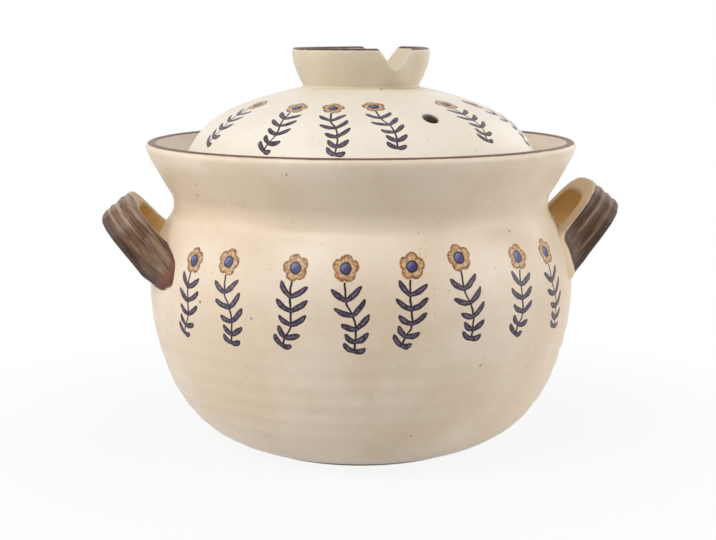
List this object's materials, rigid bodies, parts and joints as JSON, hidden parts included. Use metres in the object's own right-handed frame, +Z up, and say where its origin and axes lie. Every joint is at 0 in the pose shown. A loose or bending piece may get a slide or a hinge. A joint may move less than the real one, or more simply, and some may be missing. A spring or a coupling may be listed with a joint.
{
  "type": "donabe clay pot",
  "caption": "Round-bellied stoneware cooking pot with flared rim, ribbed strap handles and a loose domed lid with steam hole and hollow ring knob.",
  "frame": {"origin": "middle of the foot, on the surface the pot stands on", "axes": "+Z up; the handles lie on the X axis, left_handle at -X; the front, with the steam hole to the right, faces -Y"},
  "size_m": [0.2584, 0.215, 0.1994],
  "materials": {
    "cream_glaze": "satin cream glaze with small iron specks, brown line on the rim",
    "lid_glaze": "satin off-white glaze with small iron specks",
    "knob_glaze": "satin cream glaze, brown line on the top edge",
    "iron_brown_glaze": "satin brown iron glaze on the outer face, bare cream on the inner one"
  },
  "bodies": {
    "pot": {"pot_body": "cream_glaze", "left_handle": "iron_brown_glaze", "right_handle": "iron_brown_glaze"},
    "lid": {"lid_dome": "lid_glaze", "lid_knob": "knob_glaze"}
  },
  "joints": [
    {"name": "lid_lift", "type": "slide", "parent": "pot", "child": "lid", "axis": [0, 0, 1], "range_m": [0, 0.12]}
  ]
}
